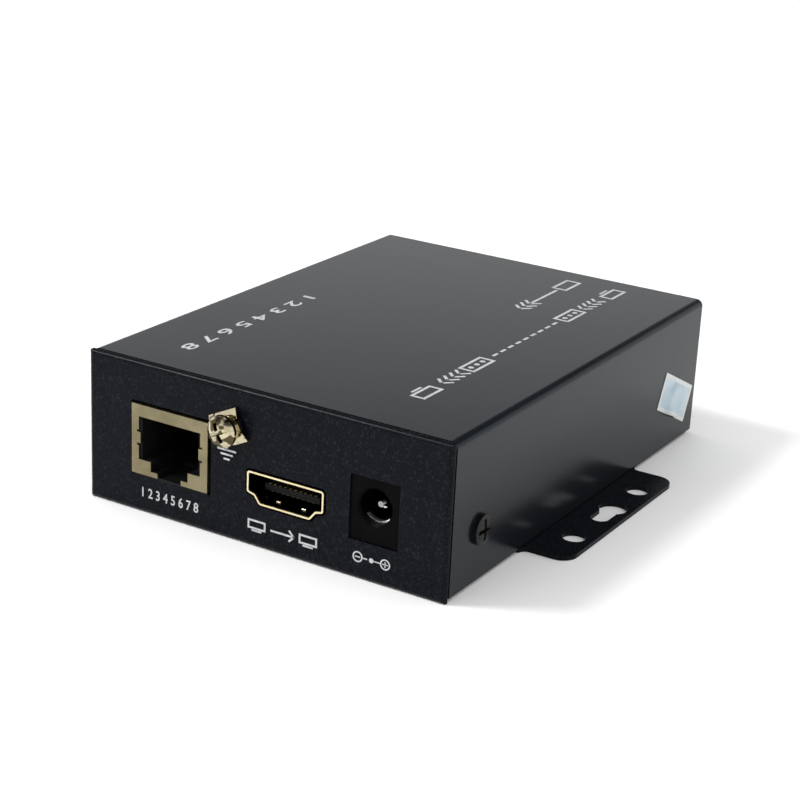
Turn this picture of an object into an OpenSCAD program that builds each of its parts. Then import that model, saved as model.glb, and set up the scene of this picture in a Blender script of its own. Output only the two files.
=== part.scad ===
// HDMI extender box: folded steel case with two mounting ears, network, HDMI and power sockets,
// a ground terminal that really unscrews, and the circuit board with what stands on it.
// X runs along the front panel, the front panel faces -Y and Z is up from the underside.

/* [Case] */
// Width across the cover's two sides
case_w = 71.6; // [69:0.2:76]
// Depth from the front panel's face to the rear panel's face
case_d = 95.4; // [92:0.2:105]
// Height from the underside to the cover's top
case_h = 27.1; // [26:0.1:32]
// Thickness of the steel sheet
sheet_t = 0.8; // [0.7:0.05:0.85]
// Outer radius of the panels' bends
bend_r = 0.9; // [0.9:0.05:1.4]
// Outer radius of the cover's two long bends
cover_bend_r = 1.3; // [1:0.1:2]
// Radius of the front panel's two upper corners
panel_corner_r = 0.5; // [0.3:0.05:0.8]
// Open seam between the cover's front end and the panel's rolled edge
seam = 0.45; // [0.35:0.05:0.6]
// How far the rear panel's face stands inside the cover's rear end
rear_inset = 0.3; // [0:0.1:0.6]
// Height of the cover's lower edges above the underside
cover_lift = 0.7; // [0.5:0.05:0.8]

/* [Mounting ears] */
// How far an ear stands out from the case side
ear_reach = 8.7; // [8:0.1:12]
// Length of an ear along the case side
ear_len = 42.8; // [38:0.2:50]
// Place of the ears' middle along the depth, from the case's middle
ear_y = -0.3; // [-2:0.1:2]
// Radius of an ear's two outer corners
ear_corner_r = 3; // [2:0.25:4]
// Radius of the hollow fillet where an ear leaves the side
ear_fillet_r = 1.3; // [1:0.1:2]
// Distance between the two round holes of an ear
ear_hole_pitch = 25.3; // [22:0.1:28]
// Radius of a round ear hole
ear_hole_r = 2.1; // [1.7:0.05:2.3]
// Distance from the case side to the line of holes
ear_hole_out = 5.2; // [4.8:0.1:5.6]
// Radius of the keyhole's wide end
key_big_r = 2.6; // [2.4:0.05:2.8]
// Radius of the keyhole's narrow end
key_small_r = 1.65; // [1.5:0.05:1.8]
// Distance between the centres of the keyhole's two ends
key_pitch = 5.1; // [4.5:0.1:5.5]

/* [Network jack] */
// Width of the jack's metal face
rj_w = 15.9; // [15.6:0.1:16.4]
// Height of the jack's metal face
rj_h = 12.55; // [12.2:0.05:13]
// Length of the jack from face to back
rj_len = 21; // [19:0.5:22]
// Place of the jack's middle across the panel
rj_x = -18.2; // [-19:0.05:-17.5]
// Width of the jack's mouth
rj_mouth_w = 12.9; // [12.4:0.1:13.2]
// How far the jack's face stands out of the panel
rj_proud = 0.4; // [0.2:0.1:0.8]

/* [HDMI sockets] */
// Width of the HDMI shell
hdmi_w = 15.06; // [14.8:0.02:15.4]
// Height of the HDMI shell
hdmi_h = 5.57; // [5.4:0.01:5.8]
// Length of the HDMI socket from face to back
hdmi_len = 11.5; // [11:0.25:13]
// Place of the output socket's middle across the front panel
hdmi_out_x = 5.2; // [4.5:0.05:6]
// Place of the input socket's middle across the rear panel
hdmi_in_x = -14; // [-17:0.5:-12]

/* [Power jack] */
// Width of the power jack's face
dc_w = 9.06; // [8.9:0.02:9.2]
// Height of the power jack's face
dc_h = 11.08; // [10.8:0.02:11.4]
// Length of the power jack from face to back
dc_len = 14; // [13.5:0.25:15]
// Place of the power jack's middle across the panel
dc_x = 22.2; // [21.5:0.05:23]
// Radius of the plug hole
dc_hole_r = 3; // [2.9:0.05:3.2]
// Radius of the centre pin
dc_pin_r = 1; // [0.8:0.05:1.25]

/* [USB socket] */
// Width of the USB shell
usb_w = 12; // [11.8:0.1:12.4]
// Height of the USB shell
usb_h = 10.9; // [10.6:0.1:11.2]
// Length of the USB socket from face to back
usb_len = 16; // [15:0.5:17]
// Place of the USB socket's middle across the rear panel
usb_x = 7; // [5:0.5:9]

/* [Ground terminal] */
// Place of the ground screw across the panel
gnd_x = -5.95; // [-6.3:0.05:-5.5]
// Distance of the ground screw below the cover's top
gnd_low = 7.1; // [6.6:0.1:7.6]
// Outer radius of the ground screw's thread
gnd_screw_r = 1.5; // [1.4:0.05:1.6]
// Radius of the ground screw's head
gnd_head_r = 2.75; // [2.6:0.05:2.9]
// Side of the square washer
square_side = 5.9; // [5.5:0.1:6]
// Height of the square washer's arch
square_rise = 0.7; // [0.5:0.05:0.8]
// Angle at which the square washer was tightened, in degrees
square_turn = 26; // [24:1:28]

/* [Board] */
// Height of the standoffs under the board
standoff_h = 4.4; // [3.8:0.1:5]
// Thickness of the circuit board
board_t = 1.6; // [1.2:0.1:1.8]

/* [Cover screws] */
// Distance of a cover screw from the end of the case
cover_screw_in = 10.5; // [9:0.1:11]
// Height of the cover screws above the underside
cover_screw_z = 9.5; // [8.8:0.1:11]
// Outer radius of the cover and board screws' thread
screw_r = 1.5; // [1.4:0.05:1.6]
// Radius of a cover screw's low head
low_head_r = 2.65; // [2.5:0.05:2.8]
// Height of a cover screw's low head
low_head_h = 0.95; // [0.8:0.05:1.2]

/* [Hidden] */
$fn = 48;

// Overrun of every cut past the faces that it opens
over = 0.5;
// Clearance between pieces that are assembled face to face
fit_gap = 0.1;
// Clearance round a shank or a pin in its hole
pin_gap = 0.05;
// Clearance round a screw in a plain hole
play = 0.2;

// Case, worked out
front_y = -case_d / 2;
side_x = case_w / 2;
lip_share = 0.1;
lip_d = bend_r + lip_share * sheet_t;
rear_y = case_d / 2 - rear_inset;
rear_top = case_h - sheet_t - fit_gap;
plate_half_w = side_x - sheet_t - fit_gap;
joggle_share = 0.3;
joggle_run = joggle_share * sheet_t;
top_tongue_d = 8;
top_tongue_in = 7;
side_tongue_d = 15;
side_tongue_low = 5;
side_tongue_in = 6;
collar_r = 2.4;
collar_t = 1.2;
notch_gap = 0.15;
panel_gap = 0.4;

// Board, worked out
board_top = sheet_t + standoff_h + board_t;
board_side_gap = 0.5;
board_half_w = plate_half_w - sheet_t - board_side_gap;
board_end_gap = 0.5;
board_front_y = front_y + sheet_t + board_end_gap;
board_rear_y = rear_y - sheet_t - board_end_gap;
standoff_r = 2.5;
standoff_in_x = 6.3;
standoff_front_in = 26.5;
standoff_rear_in = 17.5;
board_screw_len = 4.5;
board_head_r = 2.75;
board_head_h = 1.9;

// Network jack, worked out and lesser sizes
rj_lift = 0.4;
rj_z = board_top + rj_lift + rj_h / 2;
rj_face_y = front_y - rj_proud;
rj_wall = 0.3;
rj_mouth_top_in = 2.15;
rj_ledge_up = 2.65;
rj_step_up = 0.9;
rj_step_w = 7.8;
rj_slot_w = 4.95;
rj_finger_w = 0.35;
rj_finger_h = 2;
rj_finger_z = 0.3;
rj_nick = 0.4;
rj_cavity_w = 11.9;
rj_cavity_d = 13.5;
rj_face_gap = 0.05;
rj_wires = 8;
rj_wire_pitch = 1.02;
rj_wire_w = 0.4;
rj_wire_t = 0.3;
rj_floor = 0.4;
rj_groove_d = 1;
rj_wire_back = 3;

// HDMI sockets, worked out and lesser sizes
hdmi_lift = 1.05;
hdmi_z = board_top + hdmi_lift + hdmi_h / 2;
hdmi_wall = 0.32;
hdmi_proud = 0.15;
hdmi_side_up = 1.78;
hdmi_knee_up = 1.43;
hdmi_knee_w = 12.2;
hdmi_foot_w = 10;
hdmi_corner_r = 0.5;
hdmi_core_depth = 7.2;
hdmi_tongue_w = 10.8;
hdmi_tongue_t = 1.1;
hdmi_tongue_front = 2.2;
hdmi_tongue_z = -0.2;
hdmi_pins = 10;
hdmi_pin_pitch = 1;
hdmi_pin_w = 0.45;
hdmi_pin_t = 0.12;
hdmi_finger_x = 2.5;
hdmi_finger_w = 1.6;
hdmi_finger_len = 5;
hdmi_finger_in = 1.2;
hdmi_slit = 0.35;
hdmi_bump = 0.3;
hdmi_leg_w = 1.4;
hdmi_leg_below = 0.8;
hdmi_leg_front = 3.2;
hdmi_leg_back = 9;

// Power jack, worked out and lesser sizes
dc_recess = 0.3;
dc_z = board_top + dc_h / 2;
dc_hole_up = 0.75;
dc_hole_d = 9.5;
dc_collar_d = 3.4;
dc_waist_in = 0.5;
dc_pin_back = 1.7;
dc_mouth_r = 0.35;
dc_spring_t = 0.25;
dc_spring_half = 48;
dc_spring_front = 1.2;
dc_spring_len = 7;
dc_tail_len = 1;

// USB socket, worked out and lesser sizes
usb_z = board_top + usb_h / 2;
usb_proud = 0.3;
usb_wall = 0.35;
usb_mouth_w = 8.9;
usb_mouth_h = 8.2;
usb_bevel = 1.7;
usb_core_rim = 0.3;
usb_cavity_d = 9;
usb_tongue_w = 5.6;
usb_tongue_h = 3.2;
usb_tongue_front = 1.4;
usb_pin_w = 1;
usb_pin_t = 0.25;
usb_pin_pitch = 2.5;

// Ground terminal, worked out and lesser sizes
gnd_z = case_h - gnd_low;
square_t = 0.55;
square_gap = 0.05;
square_hole_r = gnd_screw_r + play;
lock_t = 0.7;
lock_r = 2.45;
lock_slit = 0.35;
lock_slit_lean = 20;
stack_gap = 0.02;
gnd_head_h = 1.7;
gnd_shank_len = 8;
gnd_nut_r = 2.8;
gnd_nut_t = 2;
lock_y = front_y - square_gap - square_rise - square_t - stack_gap;
gnd_head_y = lock_y - lock_t - stack_gap;
square_r = (square_side * square_side / 4 + square_rise * square_rise) / (2 * square_rise);

// Screw heads: straight rim as a share of the head's height, cross recess as shares of its radius
pan_rim_share = 0.35;
low_rim_share = 0.75;
recess_span_share = 0.8;
recess_wing_share = 0.26;
recess_depth_share = 0.45;

// Cover screws and seal sticker
cover_screw_len = 5;
cover_hole_r = screw_r + play;
seal_len = 14.6;
seal_w = 7.3;
seal_t = 0.15;
seal_tilt = 25.5;
seal_in_y = 9.43;
seal_z = 9.95;
seal_spread = 0.9;

// Rear lamps
lamp_x = 21;
lamp_pitch = 6;
lamp_r = 1.5;
lamp_up = 4.5;
lamp_proud = 0.6;
lamp_hole_gap = 0.15;
holder_w = 4.4;
holder_d = 4.5;
holder_top = 1.4;

// Pieces on the board: size and place of each
chip_w = 14;
chip_t = 1.4;
chip_y = 2;
pin_row_t = 0.2;
pin_row_out = 1;
pad_t = 0.5;
pad_in = 1;
sink_w = 22;
sink_base = 2;
sink_h = 8;
sink_fins = 7;
fin_t = 0.9;
line_w = 14;
line_d = 12;
line_h = 6;
line_x = -18;
line_y = -16;
can_len = 11;
can_w = 4.6;
can_h = 3.5;
can_x = 20;
can_y = 6;
cap_r = 4;
cap_h = 10;
cap_base_t = 0.9;
cap_groove = 0.35;
cap_groove_up = 2.2;
cap_places = [[10, -22], [21, -23]];
coil_w = 7;
coil_h = 4;
coil_r = 2.9;
coil_x = 22;
coil_y = -11;
small_places = [[-22, 8], [-18, 22], [18, 20]];
small_sizes = [[5, 6, 1.6], [9, 9, 1.2], [7, 4, 1.7]];

// Unit vector, inward corner offset and filleted outline
function unit(v) = v / norm(v);
function inward(a, b) = let (u = unit(b - a)) [-u[1], u[0]];
function corner(p, i, t) = let (n = len(p), a = p[(i + n - 1) % n], b = p[i], c = p[(i + 1) % n],
    m1 = inward(a, b), m2 = inward(b, c)) b + (m1 + m2) * t / (1 + m1 * m2);
function inset(p, t) = [for (i = [0:len(p) - 1]) corner(p, i, t)];
function swing(a, b) = let (d = b - a) d > 180 ? d - 360 : d < -180 ? d + 360 : d;
function fillet(a, b, c, r, n) = let (u = unit(a - b), w = unit(c - b), turn = acos(u * w),
    o = b + unit(u + w) * r / sin(turn / 2), s = b + u * r / tan(turn / 2) - o,
    e = b + w * r / tan(turn / 2) - o, a0 = atan2(s[1], s[0]), da = swing(a0, atan2(e[1], e[0])))
    [for (k = [0:n]) o + r * [cos(a0 + da * k / n), sin(a0 + da * k / n)]];
function rounded(p, r, n = 5) = [for (i = [0:len(p) - 1])
    each fillet(p[(i + len(p) - 1) % len(p)], p[i], p[(i + 1) % len(p)], r, n)];

// Rectangle with four true arcs at its corners
module round_rect(w, h, r) {
    square([w, h - 2 * r], center = true);
    square([w - 2 * r, h], center = true);
    for (sx = [-1, 1], sy = [-1, 1]) translate([sx * (w / 2 - r), sy * (h / 2 - r)]) circle(r);
}

// Block of the case's outer form, every bend rounded
module case_block(w, d, h, r, top_r) {
    intersection() {
        linear_extrude(h, center = true) round_rect(w, d, r);
        rotate([90, 0, 90]) linear_extrude(w, center = true) round_rect(d, h, r);
        rotate([90, 0, 0]) linear_extrude(d, center = true) union() {
            round_rect(w, h, top_r);
            translate([-w / 2, -h / 2]) square([w, h / 2]);
        }
    }
}

// Draws its children at the front, then again at the rear turned about the vertical
module both_ends() {
    children();
    rotate([0, 0, 180]) children();
}

// Draws its children at +X and -X
module both_sides() {
    children();
    mirror([1, 0, 0]) children();
}

// Stepped tongue that runs from a panel's rolled edge back under the cover's sheet
module joggle(width, depth) {
    drop = sheet_t + fit_gap;
    rotate([90, 0, 90]) linear_extrude(width, center = true) polygon([
        [lip_d - sheet_t, -sheet_t / 2], [lip_d, -sheet_t / 2], [lip_d + joggle_run, -drop],
        [depth, -drop], [depth, -drop - sheet_t], [lip_d - joggle_run, -drop - sheet_t],
        [lip_d - sheet_t, -sheet_t - joggle_run]]);
}

// Flat outline of one ear on the +X side, with its root inside the cover's notch
module ear_outline() {
    translate([side_x, ear_y]) {
        difference() {
            union() {
                translate([0, -ear_len / 2]) square([ear_reach - ear_corner_r, ear_len]);
                translate([0, -ear_len / 2 + ear_corner_r])
                    square([ear_reach, ear_len - 2 * ear_corner_r]);
                for (s = [-1, 1]) translate([ear_reach - ear_corner_r, s * (ear_len / 2 - ear_corner_r)])
                    circle(ear_corner_r);
                for (s = [-1, 1]) translate([0, s * (ear_len / 2 + ear_fillet_r / 2)])
                    square([2 * ear_fillet_r, ear_fillet_r], center = true);
                translate([-sheet_t - 2 * fit_gap, -ear_len / 2 - ear_fillet_r])
                    square([sheet_t + 2 * fit_gap, ear_len + 2 * ear_fillet_r]);
            }
            for (s = [-1, 1]) translate([ear_fillet_r, s * (ear_len / 2 + ear_fillet_r)])
                circle(ear_fillet_r);
        }
    }
}

// Round holes and keyhole of one ear, as solids to cut with
module ear_holes() {
    translate([side_x + ear_hole_out, ear_y, -over]) {
        for (s = [-1, 1]) translate([0, s * ear_hole_pitch / 2, 0])
            cylinder(r = ear_hole_r, h = sheet_t + 2 * over);
        translate([0, key_pitch / 2, 0]) cylinder(r = key_big_r, h = sheet_t + 2 * over);
        translate([0, -key_pitch / 2, 0]) {
            cylinder(r = key_small_r, h = sheet_t + 2 * over);
            translate([-key_small_r, 0, 0]) cube([2 * key_small_r, key_pitch, sheet_t + 2 * over]);
        }
    }
}

// Openings of the front panel
module front_cuts() {
    through = sheet_t + 2 * over;
    translate([rj_x, front_y + sheet_t + over, rj_z]) rotate([90, 0, 0])
        linear_extrude(through) square([rj_w + 2 * panel_gap, rj_h + 2 * panel_gap], center = true);
    translate([hdmi_out_x, front_y + sheet_t + over, hdmi_z]) rotate([90, 0, 0])
        linear_extrude(through) hdmi_shape(-panel_gap);
    translate([dc_x, front_y + sheet_t + over, dc_z]) rotate([90, 0, 0])
        linear_extrude(through) square([dc_w + 2 * fit_gap, dc_h + 2 * fit_gap], center = true);
    translate([gnd_x, front_y + sheet_t + over, gnd_z]) rotate([90, 0, 0])
        cylinder(r = gnd_screw_r + pin_gap, h = through);
}

// Openings of the rear panel
module rear_cuts() {
    through = sheet_t + 2 * over;
    translate([hdmi_in_x, rear_y + over, hdmi_z]) rotate([90, 0, 0])
        linear_extrude(through) hdmi_shape(-panel_gap);
    translate([usb_x, rear_y + over, usb_z]) rotate([90, 0, 0])
        linear_extrude(through) square([usb_w + 2 * panel_gap, usb_h + 2 * panel_gap], center = true);
    for (i = [0, 1]) translate([lamp_x + i * lamp_pitch, rear_y + over, board_top + lamp_up])
        rotate([90, 0, 0]) cylinder(r = lamp_r + lamp_hole_gap, h = through);
}

// Front panel with its rolled edges, and the front half of the bottom
module front_tub() {
    translate([0, 0, case_h / 2]) difference() {
        case_block(case_w, case_d, case_h, bend_r, panel_corner_r);
        case_block(case_w - 2 * sheet_t, case_d - 2 * sheet_t, case_h - 2 * sheet_t,
            bend_r - sheet_t, panel_corner_r);
        translate([-side_x - over, front_y + lip_d, -case_h / 2 + sheet_t])
            cube([case_w + 2 * over, case_d, case_h]);
        both_sides() translate([plate_half_w, front_y + lip_d, -case_h / 2 - over])
            cube([case_w, case_d, case_h]);
        translate([-side_x, 0, -case_h / 2 - over]) cube([case_w, case_d, case_h]);
    }
}

// Rear panel with flanges that run forward under the cover, and the rear half of the bottom
module rear_tub() {
    intersection() {
        translate([0, 0, rear_top / 2]) difference() {
            case_block(2 * plate_half_w, 2 * rear_y, rear_top, bend_r, cover_bend_r - sheet_t);
            case_block(2 * (plate_half_w - sheet_t), 2 * (rear_y - sheet_t), rear_top - 2 * sheet_t,
                bend_r - sheet_t, cover_bend_r - sheet_t);
        }
        union() {
            translate([-plate_half_w, 0, 0]) cube([2 * plate_half_w, rear_y, sheet_t]);
            translate([-plate_half_w, rear_y - bend_r, 0]) cube([2 * plate_half_w, bend_r, rear_top]);
            translate([-side_x + top_tongue_in, rear_y - top_tongue_d, rear_top - bend_r])
                cube([case_w - 2 * top_tongue_in, top_tongue_d, bend_r]);
            both_sides() translate([plate_half_w - bend_r, rear_y - side_tongue_d, side_tongue_low])
                cube([bend_r, side_tongue_d, case_h - side_tongue_in - side_tongue_low]);
        }
    }
}

module base_tray() {
    color([0.13, 0.14, 0.15]) difference() {
        union() {
            front_tub();
            rear_tub();
            translate([0, front_y, case_h]) joggle(case_w - 2 * top_tongue_in, top_tongue_d);
            both_sides() translate([side_x, front_y, (side_tongue_low + case_h - side_tongue_in) / 2])
                rotate([0, 90, 0]) joggle(case_h - side_tongue_in - side_tongue_low, side_tongue_d);
            both_ends() both_sides() translate([plate_half_w - sheet_t, front_y + cover_screw_in,
                cover_screw_z]) rotate([0, -90, 0]) cylinder(r = collar_r, h = collar_t);
            both_sides() linear_extrude(sheet_t) ear_outline();
        }
        both_sides() ear_holes();
        both_ends() both_sides() translate([side_x, front_y + cover_screw_in, cover_screw_z])
            rotate([0, -90, 0]) cylinder(r = screw_r + pin_gap, h = cover_screw_len + over);
        front_cuts();
        rear_cuts();
    }
}

module top_cover() {
    color([0.24, 0.26, 0.27]) difference() {
        translate([0, case_d / 2, case_h / 2]) rotate([90, 0, 0]) linear_extrude(case_d - lip_d - seam)
            difference() {
                union() {
                    round_rect(case_w, case_h, cover_bend_r);
                    translate([-side_x, -case_h / 2]) square([case_w, case_h / 2]);
                }
                translate([-side_x - over, -case_h / 2 - over])
                    square([case_w + 2 * over, cover_lift + over]);
                union() {
                    round_rect(case_w - 2 * sheet_t, case_h - 2 * sheet_t, cover_bend_r - sheet_t);
                    translate([-side_x + sheet_t, -case_h / 2 - over])
                        square([case_w - 2 * sheet_t, case_h / 2 + over]);
                }
            }
        both_sides() translate([side_x - sheet_t - over, ear_y - ear_len / 2 - ear_fillet_r - notch_gap,
            -over]) cube([sheet_t + 2 * over, ear_len + 2 * (ear_fillet_r + notch_gap),
            sheet_t + notch_gap + over]);
        both_ends() both_sides() translate([side_x, front_y + cover_screw_in, cover_screw_z])
            rotate([0, -90, 0]) translate([0, 0, -over]) cylinder(r = cover_hole_r, h = sheet_t + 2 * over);
    }
}

// Cross recess cut into a head whose top faces +Z at the origin
module cross_recess(head_r) {
    depth = head_r * recess_depth_share;
    reach = head_r * recess_span_share;
    wing = head_r * recess_wing_share;
    intersection() {
        translate([0, 0, -depth]) union() {
            translate([-reach, -wing / 2, 0]) cube([2 * reach, wing, depth + over]);
            translate([-wing / 2, -reach, 0]) cube([wing, 2 * reach, depth + over]);
        }
        translate([0, 0, -depth])
            cylinder(r1 = wing, r2 = reach + over * (reach - wing) / depth, h = depth + over);
    }
}

// Domed screw with a straight rim: head up +Z from the origin, shank down -Z
module pan_screw(head_r, head_h, rim, shank_r, shank_len) {
    dome = head_h - rim;
    crown_r = (head_r * head_r + dome * dome) / (2 * dome);
    difference() {
        union() {
            rotate_extrude() intersection() {
                square([head_r, head_h]);
                translate([0, head_h - crown_r]) circle(crown_r);
            }
            translate([0, 0, -shank_len]) cylinder(r = shank_r, h = shank_len + rim);
        }
        translate([0, 0, head_h]) cross_recess(head_r);
    }
}

module cover_screws() {
    color([0.1, 0.1, 0.11]) both_ends() both_sides()
        translate([side_x, front_y + cover_screw_in, cover_screw_z]) rotate([0, 90, 0])
            pan_screw(low_head_r, low_head_h, low_head_h * low_rim_share, screw_r, cover_screw_len);
}

// Thin skin that drapes over the screw head under the seal, its axis on +Z
module seal_tent() {
    crest = low_head_h + seal_t;
    foot_r = low_head_r + seal_spread;
    rotate_extrude() polygon([[0, crest], [low_head_r, crest], [foot_r, 0], [foot_r + seal_t, 0],
        [foot_r + seal_t, seal_t], [low_head_r + seal_t, crest + seal_t], [0, crest + seal_t]]);
}

module seal_sticker() {
    foot_r = low_head_r + seal_spread;
    color([0.7, 0.77, 0.81]) intersection() {
        translate([side_x, case_d / 2 - seal_in_y, seal_z]) rotate([-seal_tilt, 0, 0])
            translate([0, -seal_len / 2, -seal_w / 2])
                cube([low_head_h + 2 * seal_t + over, seal_len, seal_w]);
        union() {
            difference() {
                translate([side_x, case_d / 2 - seal_in_y - seal_len, seal_z - seal_len])
                    cube([seal_t, 2 * seal_len, 2 * seal_len]);
                translate([side_x - over, case_d / 2 - cover_screw_in, cover_screw_z])
                    rotate([0, 90, 0]) cylinder(r = foot_r, h = seal_t + 2 * over);
            }
            translate([side_x, case_d / 2 - cover_screw_in, cover_screw_z]) rotate([0, 90, 0]) seal_tent();
        }
    }
}

// Stepped outline of the network jack's mouth, about the jack's middle
module rj_mouth() {
    low = -rj_h / 2;
    translate([-rj_mouth_w / 2, low + rj_ledge_up])
        square([rj_mouth_w, rj_h - rj_ledge_up - rj_mouth_top_in]);
    translate([-rj_step_w / 2, low + rj_step_up]) square([rj_step_w, rj_ledge_up]);
    translate([-rj_slot_w / 2, low - over]) square([rj_slot_w, rj_ledge_up + over]);
}

module rj45_shell() {
    color([0.66, 0.62, 0.5]) translate([rj_x, rj_face_y, rj_z]) difference() {
        translate([0, rj_len / 2, 0]) cube([rj_w, rj_len, rj_h], center = true);
        translate([-rj_w / 2 + rj_wall, rj_wall, -rj_h / 2 - over])
            cube([rj_w - 2 * rj_wall, rj_len - 2 * rj_wall, rj_h - rj_wall + over]);
        translate([0, rj_wall + over, 0]) rotate([90, 0, 0]) linear_extrude(rj_wall + 2 * over)
            difference() {
                union() {
                    rj_mouth();
                    for (s = [-1, 1]) translate([s * rj_mouth_w / 2, rj_finger_z])
                        square([2 * rj_nick, rj_finger_h + 2 * rj_nick], center = true);
                }
                for (s = [-1, 1]) translate([s * (rj_mouth_w / 2 + rj_finger_w), rj_finger_z])
                    square([4 * rj_finger_w, rj_finger_h], center = true);
            }
    }
}

module rj45_housing() {
    block_w = rj_w - 2 * (rj_wall + fit_gap);
    block_d = rj_len - 2 * (rj_wall + rj_face_gap);
    block_top = rj_h / 2 - rj_wall - fit_gap;
    block_low = board_top - rj_z;
    low = -rj_h / 2;
    color([0.06, 0.06, 0.06]) translate([rj_x, rj_face_y + rj_wall + rj_face_gap, rj_z]) difference() {
        translate([-block_w / 2, 0, block_low]) cube([block_w, block_d, block_top - block_low]);
        translate([-rj_cavity_w / 2, -over, low + rj_ledge_up])
            cube([rj_cavity_w, rj_cavity_d + over, rj_h - rj_ledge_up - rj_mouth_top_in]);
        translate([-rj_step_w / 2, -over, low + rj_step_up])
            cube([rj_step_w, rj_cavity_d + over, rj_ledge_up]);
        translate([-rj_slot_w / 2, -over, block_low + rj_floor])
            cube([rj_slot_w, rj_cavity_d / 2 + over, rj_ledge_up + rj_lift - rj_floor]);
        for (i = [0:rj_wires - 1]) translate([(i - (rj_wires - 1) / 2) * rj_wire_pitch
            - rj_wire_w / 2 - pin_gap, rj_groove_d, rj_h / 2 - rj_mouth_top_in - over])
            cube([rj_wire_w + 2 * pin_gap, rj_cavity_d - rj_groove_d,
                over + rj_wire_t + 2 * pin_gap]);
    }
}

// Flat wire along a path in the plane, with round joints
module wire_path(path, t) {
    for (i = [0:len(path) - 2]) {
        d = path[i + 1] - path[i];
        translate(path[i]) rotate(atan2(d[1], d[0])) translate([0, -t / 2]) square([norm(d), t]);
        translate(path[i]) circle(t / 2);
    }
    translate(path[len(path) - 1]) circle(t / 2);
}

module rj45_contacts() {
    roof = rj_h / 2 - rj_mouth_top_in + pin_gap + rj_wire_t / 2;
    front = rj_groove_d + rj_wire_t;
    drop = rj_mouth_top_in + rj_wire_t;
    path = [[rj_cavity_d - rj_wire_t, roof], [front, roof], [front + rj_wire_t, roof - 2 * rj_wire_t],
        [rj_cavity_d - rj_wire_back, roof - drop]];
    color([0.85, 0.66, 0.25]) translate([rj_x, rj_face_y + rj_wall + rj_face_gap, rj_z])
        for (i = [0:rj_wires - 1]) translate([(i - (rj_wires - 1) / 2) * rj_wire_pitch, 0, 0])
            rotate([90, 0, 90]) linear_extrude(rj_wire_w, center = true) wire_path(path, rj_wire_t);
}

// Keyed HDMI outline about its middle, moved in by t and rounded
module hdmi_shape(t) {
    low = -hdmi_h / 2;
    right = [[hdmi_foot_w / 2, low], [hdmi_knee_w / 2, low + hdmi_knee_up],
        [hdmi_w / 2, low + hdmi_side_up], [hdmi_w / 2, hdmi_h / 2]];
    all = concat(right, [for (i = [3:-1:0]) [-right[i][0], right[i][1]]]);
    polygon(rounded(inset(all, t), max(hdmi_corner_r - t, hdmi_corner_r / 2)));
}

// Solder legs of an HDMI shell, each grown by gap for the board's slots
module hdmi_legs(gap) {
    low = board_top - board_t - hdmi_leg_below;
    for (s = [-1, 1], y = [hdmi_leg_front, hdmi_leg_back])
        translate([s * (hdmi_w / 2 - hdmi_wall / 2) - hdmi_wall / 2 - gap, y - hdmi_leg_w / 2 - gap,
            low - hdmi_z]) cube([hdmi_wall + 2 * gap, hdmi_leg_w + 2 * gap, hdmi_z - low]);
}

// U-shaped slits that free a spring finger in the shell's roof, at height z
module finger_slit(z) {
    for (s = [-1, 1]) translate([s * hdmi_finger_x, hdmi_finger_in, z]) difference() {
        translate([-hdmi_finger_w / 2 - hdmi_slit, 0, -hdmi_wall])
            cube([hdmi_finger_w + 2 * hdmi_slit, hdmi_finger_len, 2 * hdmi_wall]);
        translate([-hdmi_finger_w / 2, hdmi_slit, -2 * hdmi_wall])
            cube([hdmi_finger_w, hdmi_finger_len, 4 * hdmi_wall]);
    }
}

// Metal shell of an HDMI socket, face at the origin and depth along +Y
module hdmi_shell() {
    difference() {
        union() {
            translate([0, hdmi_len, 0]) rotate([90, 0, 0]) linear_extrude(hdmi_len) hdmi_shape(0);
            hdmi_legs(0);
        }
        translate([0, hdmi_len + over, 0]) rotate([90, 0, 0]) linear_extrude(hdmi_len + 2 * over)
            hdmi_shape(hdmi_wall);
        finger_slit(hdmi_h / 2 - hdmi_wall / 2);
        finger_slit(-hdmi_h / 2 + hdmi_wall / 2);
    }
    for (s = [-1, 1], z = [-1, 1])
        translate([s * hdmi_finger_x, hdmi_finger_in + 2 * hdmi_slit + hdmi_bump,
            z * (hdmi_h / 2 - hdmi_wall)]) rotate([0, 90, 0])
            cylinder(r = hdmi_bump, h = hdmi_finger_w / 2, center = true);
}

// Insulating core of an HDMI socket with the tongue that carries the contacts
module hdmi_core() {
    translate([0, hdmi_len, 0]) rotate([90, 0, 0]) linear_extrude(hdmi_len - hdmi_core_depth)
        hdmi_shape(hdmi_wall + pin_gap);
    translate([-hdmi_tongue_w / 2, hdmi_tongue_front, hdmi_tongue_z - hdmi_tongue_t / 2])
        cube([hdmi_tongue_w, hdmi_core_depth - hdmi_tongue_front + over, hdmi_tongue_t]);
}

// Contact strips on both faces of the tongue: ten above, nine below and between them
module hdmi_contacts() {
    reach = hdmi_core_depth - hdmi_tongue_front - hdmi_slit;
    for (i = [0:hdmi_pins - 1]) translate([(i - (hdmi_pins - 1) / 2) * hdmi_pin_pitch - hdmi_pin_w / 2,
        hdmi_tongue_front + hdmi_slit / 2, hdmi_tongue_z + hdmi_tongue_t / 2])
        cube([hdmi_pin_w, reach, hdmi_pin_t]);
    for (i = [0:hdmi_pins - 2]) translate([(i - (hdmi_pins - 2) / 2) * hdmi_pin_pitch - hdmi_pin_w / 2,
        hdmi_tongue_front + hdmi_slit / 2, hdmi_tongue_z - hdmi_tongue_t / 2 - hdmi_pin_t])
        cube([hdmi_pin_w, reach, hdmi_pin_t]);
}

// Places a socket behind the front panel or, turned round, behind the rear panel
module at_front(x, z, proud) translate([x, front_y - proud, z]) children();
module at_rear(x, z, proud) translate([x, rear_y + proud, z]) rotate([0, 0, 180]) children();

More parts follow.
